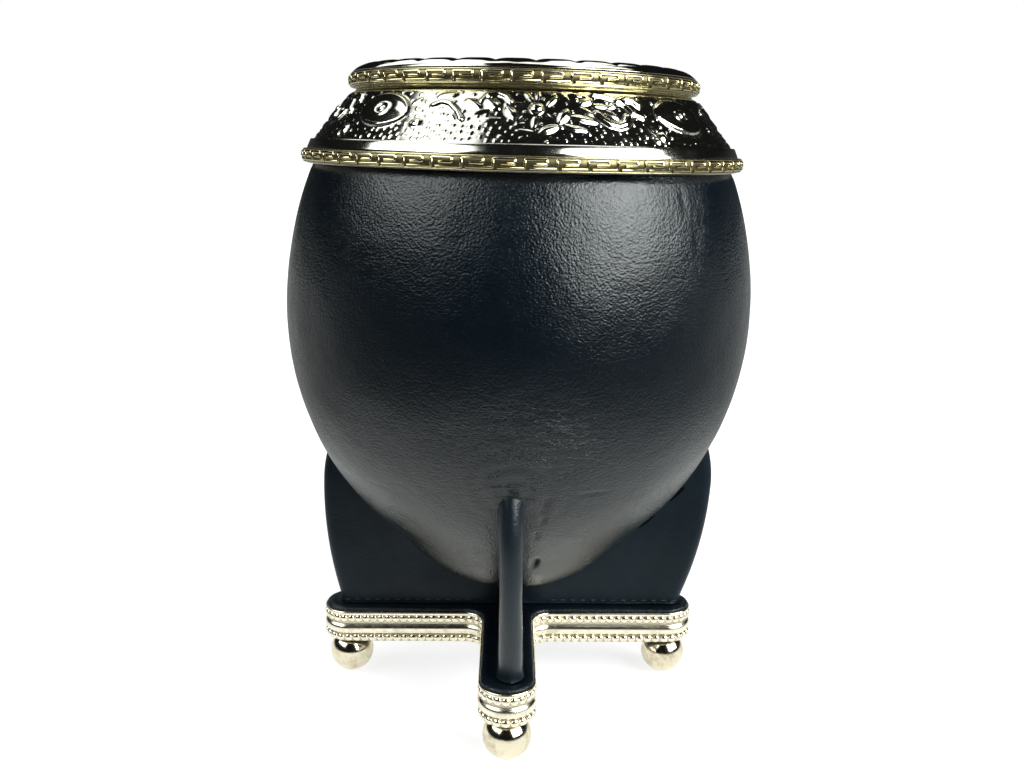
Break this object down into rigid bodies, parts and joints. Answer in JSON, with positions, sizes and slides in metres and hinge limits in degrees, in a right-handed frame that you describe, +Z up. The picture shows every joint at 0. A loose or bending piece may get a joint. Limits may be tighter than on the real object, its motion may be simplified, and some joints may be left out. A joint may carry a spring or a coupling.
{
  "type": "footed mate gourd cup",
  "caption": "Leather-covered calabash cup with an ornamented metal collar and key bands, held by fins on a cross base with ball feet.",
  "frame": {"origin": "middle of the footprint at table level, under the widest part of the cup", "axes": "+Z up, +X to the viewer's right, -Y towards the front fin"},
  "size_m": [0.0922, 0.0922, 0.1276],
  "materials": {
    "gourd": "dry natural calabash, matte",
    "cup_leather": "blue-black, fine grain, soft sheen",
    "collar_metal": "polished nickel silver with chased relief",
    "key_brass": "polished key band with dark recesses",
    "fin_leather": "blue-black, fine grain",
    "base_leather": "blue-black, fine grain",
    "trim_metal": "beaded nickel-silver strip with dark grooves",
    "ball_metal": "polished nickel silver"
  },
  "bodies": {
    "root": {"gourd_shell": "gourd", "leather_cover": "cup_leather", "collar": "collar_metal", "band_upper": "key_brass", "band_lower": "key_brass", "fin_front": "fin_leather", "fin_right": "fin_leather", "fin_back": "fin_leather", "fin_left": "fin_leather", "base_plate": "base_leather", "base_trim": "trim_metal", "foot_front": "ball_metal", "foot_right": "ball_metal", "foot_back": "ball_metal", "foot_left": "ball_metal"}
  },
  "joints": []
}
